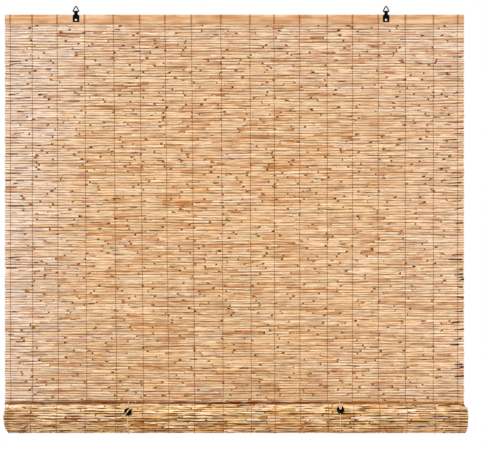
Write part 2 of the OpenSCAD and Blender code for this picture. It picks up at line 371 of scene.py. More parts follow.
def reed_material(name, roughness, groove_shade_depth, pale, deep, straw, bark, groove_shade_colour):
    """Dry reed skin: streaks and fine fibres over each stem's own colour, dark joints, and painted shade
    on the flanks in the grooves between stems.
    """
    shader = Shader(name, roughness=roughness, specular=0.005)
    tint = shader.add("ShaderNodeAttribute", attribute_name="tint")
    flank = shader.add("ShaderNodeAttribute", attribute_name="flank").outputs["Fac"]
    streaks = shader.noise((38, 700, 700), detail=3, shift=tint.outputs["Color"])
    lines = shader.noise((34, 330, 330), detail=3)
    patches = shader.noise((40, 150, 150), detail=2)
    fibres = shader.noise((70, 3200, 3200), detail=2)
    base = tint.outputs["Color"]
    base = shader.mix(shader.spread(patches, 0.52, 0.75, 0, 0.4), base, linear(206, 138, 80))
    base = shader.mix(shader.spread(streaks, 0.30, 0.47, pale, 0), base, straw)
    base = shader.mix(shader.spread(streaks, 0.54, 0.70, 0, deep), base, bark)
    base = shader.mix(shader.spread(fibres, 0.35, 0.65, 0.12, 0), base, linear(130, 84, 48))
    # Painted shade: the flanks toward the grooves darken to the shade colour, in streaks
    groove_shaded = shader.add("ShaderNodeMath", operation="MULTIPLY")
    shader.link(flank, groove_shaded.inputs[0])
    shader.link(shader.spread(lines, 0.43, 0.63, 0.02, groove_shade_depth), groove_shaded.inputs[1])
    base = shader.mix(groove_shaded.outputs["Value"], base, groove_shade_colour)
    # The tint's alpha darkens to dark brown: real stains at joints and on bark slips, painted shade on
    # fillers, gap shadows and crease stems
    base = shader.mix(tint.outputs["Alpha"], base, linear(46, 18, 4))
    shader.colour(base)
    shader.rough(shader.spread(streaks, 0.3, 0.7, roughness - 0.06, roughness + 0.1))
    shader.bump(fibres, FIBRE_GRAIN)
    return shader.material


def grained_material(name, dark, pale, scale, depth=0.0, detail=3, rough=None, **looks):
    """A plain surface with a grain from dark to pale, and with a roughness that varies within limits."""
    shader = Shader(name, **looks)
    grain = shader.noise(scale, detail=detail)
    shader.colour(shader.ramp(grain, (0.3, dark), (0.7, pale)))
    if rough:
        shader.rough(shader.spread(grain, 0.3, 0.7, *rough))
    if depth:
        shader.bump(grain, depth)
    return shader.material


def wood_material(name, seed):
    """Planed softwood with its grain along X."""
    deep, middling, pale = linear(190, 132, 84), linear(218, 167, 120), linear(238, 194, 150)
    bend_depth = 3.2
    shader = Shader(name, roughness=0.55, specular=0.12)
    wander = shader.noise((5, 22, 22), detail=2)
    bend = shader.add("ShaderNodeCombineXYZ")
    shader.link(shader.spread(wander, 0, 1, seed, seed + bend_depth), bend.inputs["Y"])
    shader.link(shader.spread(wander, 0, 1, 0, bend_depth), bend.inputs["Z"])
    rings = shader.noise((3, 260, 260), detail=4, shift=bend.outputs["Vector"], roughness=0.6)
    pores = shader.noise((40, 1500, 1500), detail=2)
    blush = shader.noise((22, 90, 90), detail=3)
    base = shader.ramp(rings, (0.28, pale), (0.48, middling), (0.7, deep))
    base = shader.mix(shader.spread(pores, 0.3, 0.5, 0.3, 0), base, deep)
    base = shader.mix(shader.spread(blush, 0.46, 0.68, 0, 0.85), base, deep)
    bleach = shader.noise((13, 70, 70), detail=2)
    base = shader.mix(shader.spread(bleach, 0.36, 0.52, 0.55, 0), base, linear(244, 212, 174))
    shader.colour(base)
    shader.rough(shader.spread(rings, 0.3, 0.7, 0.5, 0.68))
    shader.bump(pores, WOOD_GRAIN)
    return shader.material


def fibre_material(name, dark, pale, depth):
    """Spun plant fibre, under each vertex's own tint."""
    shader = Shader(name, roughness=0.88, specular=0.04)
    hairs = shader.noise((1500, 1500, 1500), detail=4)
    patches = shader.noise((45, 45, 45), detail=2)
    base = shader.ramp(hairs, (0.3, dark), (0.7, pale))
    base = shader.mix(shader.spread(patches, 0.4, 0.7, 0, 0.5), base, dark)
    tint = shader.add("ShaderNodeAttribute", attribute_name="tint").outputs["Color"]
    shader.colour(shader.mix(1.0, base, tint, "MULTIPLY"))
    shader.bump(hairs, depth)
    return shader.material


def enamel_material():
    """Black lacquer on folded steel, with a few dull scuffs."""
    shader = Shader("hanger_steel", roughness=0.45, specular=0.02)
    scuffs = shader.noise((420, 420, 420), detail=5, roughness=0.65)
    peel = shader.noise((1400, 1400, 1400), detail=2)
    base = shader.mix(shader.spread(scuffs, 0.6, 0.72, 0, 0.6), linear(10, 9, 9), linear(48, 45, 42))
    shader.colour(base)
    shader.rough(shader.spread(scuffs, 0.4, 0.7, 0.3, 0.6))
    shader.bump(peel, PEEL_GRAIN)
    return shader.material


REED = reed_material(
    "reed", roughness=0.46, groove_shade_depth=0.9, pale=0.85, deep=0.75,
    straw=linear(255, 234, 198), bark=linear(164, 98, 50), groove_shade_colour=linear(108, 56, 20),
)
# The roll's copy has deeper, darker painted shade in its grooves
ROLLED_REED = reed_material(
    "rolled_reed", roughness=0.36, groove_shade_depth=2.3, pale=0.9, deep=1.0,
    straw=linear(255, 230, 178), bark=linear(146, 80, 20), groove_shade_colour=linear(70, 29, 1),
)
CUT = grained_material(
    "reed_cut", linear(150, 92, 44), linear(206, 150, 96), (900, 900, 900), WOOD_GRAIN,
    roughness=0.8, specular=0.03,
)
# Dark lining of a hollow end: painted shade inside the hollow
HOLLOW_SHADE = grained_material(
    "reed_hollow_shade", linear(24, 8, 2), linear(70, 34, 12), (300, 900, 900), WOOD_GRAIN,
    roughness=0.9, specular=0.02,
)
# The stems' materials by their slots
SKIN_SLOT, CUT_SLOT, HOLLOW_SHADE_SLOT = range(3)
HEAD_WOOD = wood_material("head_wood", seed=0.0)
CORE_WOOD = wood_material("core_wood", seed=7.0)
TWINE = fibre_material("twine", linear(126, 62, 22), linear(180, 106, 46), FIBRE_GRAIN)
CORD = fibre_material("tie_cord", linear(202, 166, 120), linear(238, 212, 174), CORD_GRAIN)
ENAMEL = enamel_material()
ZINC = grained_material(
    "screw_steel", linear(168, 166, 160), linear(214, 212, 206), (900, 900, 900), FINE_GRAIN,
    detail=4, rough=(0.22, 0.42), roughness=0.3, metallic=1.0,
)
PLASTIC = grained_material(
    "toggle", linear(3, 3, 3), linear(9, 8, 8), (1100, 1100, 1100), FINE_GRAIN,
    rough=(0.2, 0.34), roughness=0.35, specular=0.012,
)
PAPER = grained_material(
    "paper", linear(232, 232, 232), linear(240, 240, 240), (40, 40, 40), roughness=0.9, specular=0.2,
)

# Stem colours with how often each comes up
PANEL_COLOURS = (
    (28, linear(241, 201, 154)),
    (22, linear(239, 196, 144)),
    (17, linear(248, 217, 176)),
    (10, linear(233, 186, 136)),
    (7, linear(232, 202, 152)),
    (9, linear(236, 209, 182)),
    (12, linear(213, 145, 82)),
)
ROLL_COLOURS = (
    (26, linear(240, 201, 146)),
    (20, linear(232, 185, 120)),
    (16, linear(253, 222, 170)),
    (12, linear(216, 156, 84)),
    (8, linear(235, 210, 158)),
    (6, linear(249, 222, 198)),
    (12, linear(192, 122, 50)),
)
PALETTES = (PANEL_COLOURS, ROLL_COLOURS)
AMBER = linear(170, 106, 34)
RUST = linear(150, 64, 22)
RUSSET = linear(198, 118, 76)
CREAM = linear(255, 240, 210)
ASH = linear(245, 228, 214)
PLAIN_TONE = (1.0, 1.0, 1.0)
# Painted light and shade of the roll's rows, each up to a row: painted shade behind and below, painted
# light low in front, plain in front, painted light above, painted shade in the crease and plain inside
ROLL_LIGHT_AND_SHADE = (
    (168, (0.50, 0.42, 0.36)),
    (173, (1.30, 1.15, 1.06)),
    (178, (0.95, 0.94, 0.96)),
    (183, (1.18, 1.20, 1.26)),
    (188, (0.35, 0.20, 0.10)),
    (ALL_ROWS, PLAIN_TONE),
)
# Painted shade on the two panel rows in the crease, the lower one darkest
CREASE_ROW_SHADE = {TIE_ROW: (0.74, 0.60, 0.48), TIE_ROW + 1: (0.30, 0.16, 0.08)}

# Where the sun has bleached the mat: how far from the sides, and how many rows down; the last count is of
# the rows right under the batten, painted lighter against its shade
LEFT_FADE, CORNER_FADE, RIGHT_FADE = mm(120, 300, 200)
CORNER_FADE_ROWS, TOP_FADE_ROWS, BATTEN_LIGHT_ROWS = 60, 30, 8
MOST_FADED = 0.8
FADE_SHARES = (1.0, 0.3)
# Darkening of the lower panel: the row where it starts and how many rows it takes to grow, the row where
# it ends and how many it takes to fade, and where along X it starts to halve and over what width
LOWER_ROW, LOWER_ROWS = 75, 40
DARK_END_ROW, DARK_END_ROWS = 156, 12
EASE_X, EASE_WIDTH = mm(100, 150)
LOW_DARKEN = 0.12

# The rows' wandering in waves and ripples, and the rows over which it grows below the batten
WAVE_LENGTHS = mm(200, 130)
WAVE_ROWS = (2.2, 2.6)
WAVE_DEPTHS = mm(3.3, 1.95)
RIPPLE_LENGTH, RIPPLE_ROWS = 60 * MM, 1.2
RIPPLE_DEPTHS = mm(0.8, 0.55)
LEVEL_ROWS = 5
# Where in the noise each kind of wandering is read
WAVE_LAYER, RIPPLE_LAYER, STRAND_LAYER = 0.5, 7.7, 3.3

# How far the roll lies to the right, and its ends draw in: all over, more below and more above
ROLL_SKEW = 3.2 * MM
LEFT_DRAW_IN = mm(1.2, 7.0, 1.6)
RIGHT_DRAW_IN = mm(0, 3.2, 7)


def falloff(distance, reach):
    return exp(-(distance / reach) ** 2)


def fading(x, row):
    """How far the sun has bleached the mat: most on the left and at the top, a little on the right, with
    painted light on the rows right under the batten, against its shade.
    """
    from_left, from_right = x + HALF_W, HALF_W - x
    left = (0.82 - 0.2 * clamp(row / PANEL_ROWS)) * falloff(from_left, LEFT_FADE)
    corner = 0.14 * falloff(from_left, CORNER_FADE) * falloff(row, CORNER_FADE_ROWS)
    right = 0.26 * falloff(from_right, RIGHT_FADE)
    top = 0.18 * falloff(row, TOP_FADE_ROWS) + 0.14 * falloff(row, BATTEN_LIGHT_ROWS)
    return min(MOST_FADED, left + corner + right + top)


def lowness(row):
    """How far a row belongs to the lower part of the mat."""
    return clamp((row - LOWER_ROW) / LOWER_ROWS)


def lower_darkening(x, row):
    """How much darker the lower part of the panel is, down to the crease and less on the right."""
    if is_rolled(row):
        return 0.0
    eased = clamp((x - EASE_X) / EASE_WIDTH)
    return LOW_DARKEN * lowness(row) * clamp((DARK_END_ROW - row) / DARK_END_ROWS) * (1 - eased / 2)


def row_tone(row):
    """The painted light and shade of a row's stems, on the roll and in the crease, apart from each one's
    own colour.
    """
    if is_rolled(row):
        return next(tone for last, tone in ROLL_LIGHT_AND_SHADE if row < last)
    return CREASE_ROW_SHADE.get(row, PLAIN_TONE)


def sag(x, row):
    """How far the rows wander along the mat at x, in company with their neighbours."""
    rolled = is_rolled(row)
    wave = noise.noise(Vector((x / WAVE_LENGTHS[rolled], row / WAVE_ROWS[rolled], WAVE_LAYER)))
    ripple = noise.noise(Vector((x / RIPPLE_LENGTH, row / RIPPLE_ROWS, RIPPLE_LAYER)))
    held = min(1.0, (row + 1) / LEVEL_ROWS)
    return (WAVE_DEPTHS[rolled] * wave + RIPPLE_DEPTHS[rolled] * ripple) * held


def row_ends(row):
    """Where a row starts and ends: the roll is wound a little to the right and has rounded ends."""
    if not is_rolled(row):
        return -HALF_W, HALF_W
    rise = mat_place(row)[1][1] if row < SEEN_ROWS else 0.0
    below, above = max(0.0, -rise) ** 3, max(0.0, rise) ** 3
    draws = (LEFT_DRAW_IN, RIGHT_DRAW_IN)
    left, right = (flat + low * below + high * above for flat, low, high in draws)
    return ROLL_SKEW - HALF_W + left, ROLL_SKEW + HALF_W - right


# Ranges of the stems' measures
STEM_RADII = (mm(2.55, 3.2), mm(2.5, 3.0))
STEM_TAPERS = ((0.66, 0.97), (0.72, 0.97))
STEM_STRAY, STEM_BOW, STEM_LIFT = mm(0.7, 0.35, 0.25)
STEM_FADES = (0.4, 1.6)
# Lengths as the shortest, the longest and, for stems that are seen, the most common
STEM_LENGTHS = mm(28, 135, 48)
HIDDEN_LENGTHS = mm(300, 480)
SHORTEST_STEM = 32 * MM
END_SPREAD = 0.6 * MM
SEEN_SIDES, HIDDEN_SIDES = 10, 8

# Cut ends: slants like lengths, the turn off the mat's face, the share that faces away, and the overlap
SLANTS = (0.5, 3.4, 1.4)
CUT_TURN = 0.6
CUT_AWAY = 0.42
CUT_OVERLAP = 0.4
# Hollow ends: the wall's inner edge and the bottom by the outer one, and the share lined with pith; the
# rest are lined dark as painted shade inside the hollow
WALL_INNER, WALL_SLANT = 0.66, 1.15
HOLLOW_BOTTOM = 0.55
HOLLOW_DEPTH = 3 * MM
PITH_SHARE = 0.68

# Joints along a stem
RING_STEP = 70 * MM
FIRST_JOINT = mm(25, 160)
JOINT_SPACING = mm(110, 220)
JOINT_MARGIN, JOINT_CLEAR = mm(15, 8)
JOINT_FOOT, JOINT_TOP = mm(1.5, 0.3)
JOINT_SWELL = 1.05
JOINT_STAINS = (0.1, 0.5)


class Reed:
    """One stem of a row: its stretch of the width, its ends' radii and how it strays from the row."""

    def __init__(self, dice, start, end, row):
        self.start = start
        self.end = end
        self.row = row
        self.rolled = is_rolled(row)
        self.slants = [0.0, 0.0]
        self.turns = [0.0, 0.0]
        thick = dice.uniform(*STEM_RADII[self.rolled])
        thin = thick * dice.uniform(*STEM_TAPERS[self.rolled])
        self.radii = (thick, thin) if dice.random() < 0.5 else (thin, thick)
        self.shifts = [sag(x, row) + dice.uniform(-STEM_STRAY, STEM_STRAY) for x in (start, end)]
        self.bow = dice.uniform(-STEM_BOW, STEM_BOW)
        self.lift = dice.uniform(-STEM_LIFT, STEM_LIFT)
        self.colours = (self.pick_colour(dice), self.pick_colour(dice))

    def pick_colour(self, dice):
        """A colour for one end, which is more uneven in the lower part of the mat."""
        weights, colours = zip(*PALETTES[self.rolled])
        colour = dice.choices(colours, weights)[0]
        middle = (self.start + self.end) / 2
        uneven = 0.07 + 0.1 * lowness(self.row)
        bright = 1 + dice.uniform(-uneven, uneven) - lower_darkening(middle, self.row)
        faded = min(0.9, fading(middle, self.row) * dice.uniform(*STEM_FADES)) * FADE_SHARES[self.rolled]
        colour = mixed(colour, ASH, faded)
        # The row's tone adds painted light and shade on the roll and in the crease
        return tuple(part * bright * tone for part, tone in zip(colour, row_tone(self.row)))

    def share(self, x):
        return (x - self.start) / (self.end - self.start)

    def colour(self, x):
        return mixed(*self.colours, clamp(self.share(x)))

    def radius(self, x):
        return blend(self.radii, self.share(x))

    def stray(self, x):
        """Offset along the mat and out of it."""
        share = self.share(x)
        return blend(self.shifts, share) + self.bow * sin(pi * share), self.lift


def join_ends(dice, left, right):
    """Cuts one of two meeting stems on the slant and tucks the other into the cut."""
    slant = dice.triangular(*SLANTS)
    room_side = 0.0 if left.rolled else pi
    facing = room_side + dice.uniform(-CUT_TURN, CUT_TURN)
    if dice.random() < CUT_AWAY:
        facing += pi
    if dice.random() < 0.5:
        left.slants[1], left.turns[1] = slant, facing
        left.end += CUT_OVERLAP * slant * 2 * left.radii[1]
    else:
        right.slants[0], right.turns[0] = -slant, facing
        right.start -= CUT_OVERLAP * slant * 2 * right.radii[0]


def lay_row(dice, row):
    """The stems of one row, end to end over the width."""
    x, last = (end + dice.uniform(-END_SPREAD, END_SPREAD) for end in row_ends(row))
    reeds = []
    while x < last:
        end = x + (dice.triangular(*STEM_LENGTHS) if row < SEEN_ROWS else dice.uniform(*HIDDEN_LENGTHS))
        if last - end < SHORTEST_STEM:
            end = last
        reeds.append(Reed(dice, x, end, row))
        x = end
    for left, right in zip(reeds, reeds[1:]):
        join_ends(dice, left, right)
    return reeds


ROW_SEED = 500
ROWS = [lay_row(random.Random(ROW_SEED + row), row) for row in range(ALL_ROWS)]


def stems_over(row, x):
    """The stems of a row that pass x: two where their ends overlap."""
    return [reed for reed in ROWS[row] if reed.start <= x <= reed.end]


def reed_rings(dice, reed):
    """Places of a stem's rings along X as (x, swelling, darkness): its ends, its run and its joints."""
    length = reed.end - reed.start
    rings = [(reed.start, 1.0, 0.0), (reed.end, 1.0, 0.0)]
    joints = []
    x = reed.start + dice.uniform(*FIRST_JOINT)
    while x < reed.end - JOINT_MARGIN:
        joints.append(x)
        x += dice.uniform(*JOINT_SPACING)
    for joint in joints:
        stain = dice.uniform(*JOINT_STAINS)
        for side in (-1, 1):
            rings.append((joint + side * JOINT_FOOT, 1.0, 0.0))
            rings.append((joint + side * JOINT_TOP, JOINT_SWELL, stain))
    steps = max(2, int(length / RING_STEP))
    for step in range(1, steps):
        x = reed.start + length * step / steps
        if all(abs(x - joint) > JOINT_CLEAR for joint in joints):
            rings.append((x, 1.0, 0.0))
    return sorted(rings)


def add_reed(mesh, dice, reed, sides):
    """Puts a hollow stem into a mesh, with each end cut square or on the slant."""
    (row_y, row_z), (out_y, out_z) = mat_place(reed.row)
    out = Vector((0, out_y, out_z))
    along = Vector((0, out_z, -out_y))
    centre = Vector((0, row_y, row_z))
    angles = [2 * pi * k / sides for k in range(sides)]
    flanks = [sin(angle) ** 2 for angle in angles]

    def middle(x):
        shift, lift = reed.stray(min(max(x, reed.start), reed.end))
        return centre + along * shift + out * lift

    def ring(x, radius, dark=0.0, slant=0.0, turned=0.0):
        points = []
        for angle in angles:
            point = middle(x) + (out * cos(angle) + along * sin(angle)) * radius
            point.x = x - slant * radius * (1 + cos(angle - turned))
            points.append(point)
        return mesh.ring(points, (*reed.colour(x), dark), flanks)

    body = reed_rings(dice, reed)
    ends = {0: 0, len(body) - 1: 1}
    rings = []
    for number, (x, swell, dark) in enumerate(body):
        end = ends.get(number)
        slant, turned = (0.0, 0.0) if end is None else (reed.slants[end], reed.turns[end])
        rings.append(ring(x, reed.radius(x) * swell, dark, slant, turned))
    for first, second in zip(rings, rings[1:]):
        mesh.bridge(second, first, SKIN_SLOT)
    for end, x, inward in ((0, reed.start, 1), (1, reed.end, -1)):
        slant, turned = reed.slants[end], reed.turns[end]
        radius = reed.radii[end]
        wall = ring(x, radius * WALL_INNER, 0.0, slant * WALL_SLANT, turned)
        bottom_x = x + inward * (HOLLOW_DEPTH + 2 * radius * abs(slant))
        bottom = ring(bottom_x, radius * HOLLOW_BOTTOM)
        tip = middle(bottom_x)
        tip.x = bottom_x
        lining = CUT_SLOT if dice.random() < PITH_SHARE else HOLLOW_SHADE_SLOT
        for ring_pair, slot in (((rings[-end], wall), CUT_SLOT), ((wall, bottom), lining)):
            mesh.bridge(*ring_pair[::inward], slot)
        mesh.fan(bottom, tip, (*reed.colour(x), 0), lining, turned=inward > 0)


# Thin stems and slips: the side of the mat that is seen, and measures of each kind
SEEN_SIDE = (-1, 1)
THIN_SIDES = 6
THIN_STEPS = (0, 0.35, 0.7, 1)
THIN_SWELLS = (0.85, 1.1)
SIDE_MARGIN, SHORTEST_THIN = mm(1, 8)

GROOVE_MARGIN, GROOVE_STEP = mm(1.5, 9)
FILLER_INSETS = mm(0.3, 1.5)
FILLER_LENGTHS = mm(70, 190)
FILLER_LIFTS = (mm(0.3, 0.9), mm(-0.9, -0.3))
# The fillers' shades darken them as painted shade of the groove, most on the roll
FILLER_SHADES = ((0.5, 1.0), (0.1, 0.45))
FILLER_RADII = mm(1.3, 3.0)
FILLER_OVERLAP, FILLER_STEP, FILLER_GAP = mm(0.6, 24, 0.3)
FILLER_SHADE_MIX = 0.1

TOP_ROW = -0.42
TOP_LENGTHS = mm(90, 260)
TOP_R, TOP_LIFT, TOP_GAP = mm(1.15, -2.5, 0.4)
TOP_COLOURS = PANEL_COLOURS[:3]

SLIVER_COUNTS = ((0, 1, 2, 3), (1, 2, 3))
SLIVER_MARGINS = mm(5, 110)
SLIVER_LENGTHS = mm(35, 105)
SLIVER_TILTS = mm(3.6, 2.592)
SLIVER_LIFTS = mm(1.0, 1.9)
SLIVER_SHADES = ((0.45, 1.05), (0.2, 1.05))
SLIVER_RADII = mm(0.7, 1.2)
CREAM_HIGHLIGHT_SHARE = 0.5

# Slips at the sides, in pairs for common ones and for dark ones on the frayed right side
FRAYED_ROWS = range(92, 142)
LEFT_SLIPS, RIGHT_SLIPS, FRAYED_SLIPS = 0.16, 0.18, 0.36
SLIP_SPREADS = mm(15, 4)
SLIP_RADII = (mm(0.8, 1.5), mm(1.5, 2.4))
SLIP_STAINS = ((0.1, 0.5), (0.5, 0.9))
SLIP_SHADES = ((0.4, 0.9), (0.2, 0.5))
SLIP_LENGTHS = mm(9, 34)
SLIP_TIPS = mm(0.5, 0.9)
SLIP_LIFTS = mm(2.0, 2.7)
SLIP_TILTS = mm(-5.0, 1.5)

# Painted shadows of the gaps between stems: short dark strokes in the grooves
GAP_SHADOW_COUNTS = (0, 1, 1, 2)
GAP_SHADOW_MARGINS = mm(10, 40)
GAP_SHADOW_LENGTHS = mm(5, 26, 8)
GAP_SHADOW_RADII = mm(0.7, 1.1)
GAP_SHADOW_TIPS = mm(0.25, 0.6)
GAP_SHADOW_LIFTS = mm(2.0, 2.5)
GAP_SHADOW_SHADES = (0.35, 0.8)
GAP_SHADOW_DEPTHS = (0.1, 0.55)
GAP_SHADOW_TILTS = mm(-1.0, 1.0)

FLAKE_SHARE = 0.4
FLAKE_MARGINS = mm(10, 50)
FLAKE_LENGTHS = mm(10, 34)
FLAKE_RADII = mm(1.2, 1.9)
FLAKE_LIFTS = mm(1.3, 1.8)
FLAKE_SHADES = (0.75, 1.1)
FLAKE_TILTS = mm(-1.5, 1.5)

# Lines of dark thin stems laid in the crease as painted shade: row, radius, shade and depth of the painted
# darkening
CREASE_SHADE_STEMS = ((TIE_ROW - 0.2, 1.2 * MM, 0.8, 0.1), (TIE_ROW + 0.5, 1.7 * MM, 0.35, 0.6))
CREASE_LENGTHS = mm(60, 190)
CREASE_MARGIN = 30 * MM
CREASE_GAPS = mm(0.5, 2)
CREASE_DEPTHS = mm(2.7, 3.2)
CREASE_SPREAD = 0.3 * MM
CREASE_SWELLS = (0.7, 1.15)
CREASE_SHADES = (0.7, 1.2)
AMBER_X, AMBER_WIDTH = mm(80, 200)


def add_thin_stem(mesh, dice, row, span, ends, lifts, tilt, colour):
    """A thin stem over a span of X, which follows the rows' wandering, or crosses them by its tilt.

    Its ends are given by their radii and lifts out of the mat.
    """
    path, radii = [], []
    for share in THIN_STEPS:
        x = blend(span, share)
        at = row + (sag(x, row) + tilt * (share - 0.5)) / REED_PITCH
        path.append(mat_point(x, at, blend(lifts, share)))
        radii.append(blend(ends, share) * dice.uniform(*THIN_SWELLS))
    mesh.tube(path, radii, THIN_SIDES, colour)


def row_edge(row, x, side):
    """How far along the mat the stems of a row reach at x, on their upper side, -1, or lower side, 1."""
    reaches = [side * reed.stray(x)[0] + reed.radius(x) for reed in stems_over(row, x)]
    return row * REED_PITCH + side * min(reaches, default=0.0)


def groove(row, x):
    """The open stretch along the mat below a row near x, as its middle and half its height."""
    inner = HALF_W - GROOVE_MARGIN
    near = [min(max(x + step, -inner), inner) for step in (-GROOVE_STEP, 0, GROOVE_STEP)]
    top = min(row_edge(row, place, 1) for place in near)
    low = max(row_edge(row + 1, place, -1) for place in near)
    return (top + low) / 2, max(0.0, low - top) / 2


def add_fillers(mesh, dice, row):
    """Thin stems in the groove below a row, thick enough to close the mat where the others taper, darkened
    as painted shade of the groove.
    """
    rolled = is_rolled(row)
    left, right = row_ends(row)
    x = left + dice.uniform(*FILLER_INSETS)
    last = right - dice.uniform(*FILLER_INSETS)
    while x < last - SHORTEST_THIN:
        end = min(x + dice.uniform(*FILLER_LENGTHS), last)
        lift = dice.uniform(*FILLER_LIFTS[rolled])
        shade = dice.uniform(*FILLER_SHADES[rolled])
        colour = shaded(AMBER if rolled else dice.choice(PANEL_COLOURS)[1], shade)
        steps = max(2, round((end - x) / FILLER_STEP))
        path, radii = [], []
        for step in range(steps + 1):
            place = blend((x, end), step / steps)
            middle, half = groove(row, place)
            path.append(mat_point(place, middle / REED_PITCH, lift))
            radii.append(min(max(half + FILLER_OVERLAP, FILLER_RADII[0]), FILLER_RADII[1]))
        mesh.tube(path, radii, THIN_SIDES, (*colour, FILLER_SHADE_MIX))
        x = end + FILLER_GAP


def add_top_stems(mesh, dice):
    """Thin pale stems that close the mat against the head batten."""
    edge = HALF_W - SIDE_MARGIN
    x = -edge
    while x < HALF_W - SHORTEST_THIN:
        end = min(x + dice.uniform(*TOP_LENGTHS), edge)
        colour = (*dice.choice(TOP_COLOURS)[1], 0)
        add_thin_stem(mesh, dice, TOP_ROW, (x, end), (TOP_R, TOP_R), (TOP_LIFT, TOP_LIFT), 0, colour)
        x = end + TOP_GAP


def start_within(dice, margins):
    """A place along X that keeps clear of the mat's sides."""
    return dice.uniform(-HALF_W + margins[0], HALF_W - margins[1])


def add_slivers(mesh, dice, row):
    """Loose slips of reed that lie across the stems of a row on the side that is seen; half are cream,
    pale slips that also stand as painted highlights.
    """
    rolled = is_rolled(row)
    for _ in range(dice.choice(SLIVER_COUNTS[rolled])):
        start = start_within(dice, SLIVER_MARGINS)
        span = (start, start + dice.uniform(*SLIVER_LENGTHS))
        tilt = dice.uniform(-SLIVER_TILTS[rolled], SLIVER_TILTS[rolled])
        lifts = two(dice, SLIVER_LIFTS, SEEN_SIDE[rolled])
        shade = dice.uniform(*SLIVER_SHADES[rolled])
        cream_highlight = dice.random() < CREAM_HIGHLIGHT_SHARE
        colour = CREAM if cream_highlight else shaded(dice.choice(PALETTES[rolled])[1], shade)
        ends = two(dice, SLIVER_RADII)
        add_thin_stem(mesh, dice, row, span, ends, lifts, tilt, (*colour, 0))


def add_side_slips(mesh, dice, row):
    """Dark slips of bark that lie askew in the grooves near the mat's sides, most of them on the right."""
    frayed = row in FRAYED_ROWS
    left, right = row_ends(row)
    right_chance = FRAYED_SLIPS if frayed else RIGHT_SLIPS
    for edge, inward, chance in ((left, 1, LEFT_SLIPS), (right, -1, right_chance)):
        if dice.random() >= chance:
            continue
        dark = frayed and inward < 0
        outer = edge + inward * abs(dice.gauss(0, SLIP_SPREADS[dark]))
        span = [outer, outer + inward * dice.uniform(*SLIP_LENGTHS)]
        ends = [dice.uniform(*SLIP_RADII[dark]), dice.uniform(*SLIP_TIPS)]
        lifts = two(dice, SLIP_LIFTS, SEEN_SIDE[is_rolled(row)])
        tilt = dice.uniform(*SLIP_TILTS)
        stain = dice.uniform(*SLIP_STAINS[dark])
        colour = (*shaded(RUST, dice.uniform(*SLIP_SHADES[dark])), stain)
        add_thin_stem(mesh, dice, row + 0.5, span[::inward], ends[::inward], lifts, tilt, colour)


def add_gap_shadows_and_flakes(mesh, dice, row):
    """Short dark strokes in the groove below a row, painted shadows of the gaps between stems, and broad
    red flakes on it.
    """
    out = SEEN_SIDE[is_rolled(row)]
    for _ in range(dice.choice(GAP_SHADOW_COUNTS)):
        x = start_within(dice, GAP_SHADOW_MARGINS)
        ends = [dice.uniform(*GAP_SHADOW_RADII), dice.uniform(*GAP_SHADOW_TIPS)]
        dice.shuffle(ends)
        lifts = two(dice, GAP_SHADOW_LIFTS, out)
        colour = (*shaded(RUST, dice.uniform(*GAP_SHADOW_SHADES)), dice.uniform(*GAP_SHADOW_DEPTHS))
        span = (x, x + dice.triangular(*GAP_SHADOW_LENGTHS))
        add_thin_stem(mesh, dice, row + 0.5, span, ends, lifts, dice.uniform(*GAP_SHADOW_TILTS), colour)
    if dice.random() < FLAKE_SHARE:
        x = start_within(dice, FLAKE_MARGINS)
        ends = two(dice, FLAKE_RADII)
        lifts = two(dice, FLAKE_LIFTS, out)
        colour = (*shaded(RUSSET, dice.uniform(*FLAKE_SHADES)), 0)
        span = (x, x + dice.uniform(*FLAKE_LENGTHS))
        add_thin_stem(mesh, dice, row, span, ends, lifts, dice.uniform(*FLAKE_TILTS), colour)


def add_crease_shade(mesh, dice):
    """Dark stems that lie straight in the crease where the panel meets the roll, as painted shade of the
    crease, darkest on the left.
    """
    edge = HALF_W - SIDE_MARGIN
    for row, radius, shade, depth in CREASE_SHADE_STEMS:
        (y, z), _ = mat_place(row)
        x = -edge
        while x < HALF_W - CREASE_MARGIN:
            end = min(x + dice.uniform(*CREASE_LENGTHS), edge)
            weak = clamp(((x + end) / 2 - AMBER_X) / AMBER_WIDTH)
            tone = shaded(mixed(RUST, AMBER, weak), dice.uniform(*CREASE_SHADES) * shade * (1 + weak))
            place = y - dice.uniform(*CREASE_DEPTHS)
            path = []
            for share in (0, 0.5, 1):
                height = z + dice.uniform(-CREASE_SPREAD, CREASE_SPREAD)
                path.append(Vector((blend((x, end), share), place, height)))
            radii = [radius * dice.uniform(*CREASE_SWELLS) for _ in path]
            mesh.tube(path, radii, THIN_SIDES, (*tone, depth * (1 - 0.8 * weak)))
            x = end + dice.uniform(*CREASE_GAPS)


MAT_SEED, TOP_SEED, CREASE_SEED = 9000, 8999, 8998
# The mat's pieces and their rows: three of the panel and one of the roll
BANDS = {
    "mat_upper": range(0, 53),
    "mat_middle": range(53, 106),
    "mat_lower": range(106, PANEL_ROWS),
    "mat_rolled": range(PANEL_ROWS, ALL_ROWS),
}


def build_mat():
    """The mat's stems, in a few pieces of neighbouring rows."""
    pieces = []
    for name, rows in BANDS.items():
        mesh = Mesh(name)
        for row in rows:
            dice = random.Random(MAT_SEED + row)
            for reed in ROWS[row]:
                add_reed(mesh, dice, reed, SEEN_SIDES if row < SEEN_ROWS else HIDDEN_SIDES)
            if row < SEEN_ROWS:
                for add in (add_fillers, add_slivers, add_side_slips, add_gap_shadows_and_flakes):
                    add(mesh, dice, row)
        if name == "mat_upper":
            add_top_stems(mesh, random.Random(TOP_SEED))
        if name == "mat_lower":
            add_crease_shade(mesh, random.Random(CREASE_SEED))
        piece = mesh.build(ROLLED_REED if is_rolled(rows.start) else REED, CUT, HOLLOW_SHADE)
        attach(piece, "blind")
        pieces.append(piece)
    for piece in pieces[:3]:
        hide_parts("mat_panel")
    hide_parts("mat_roll")


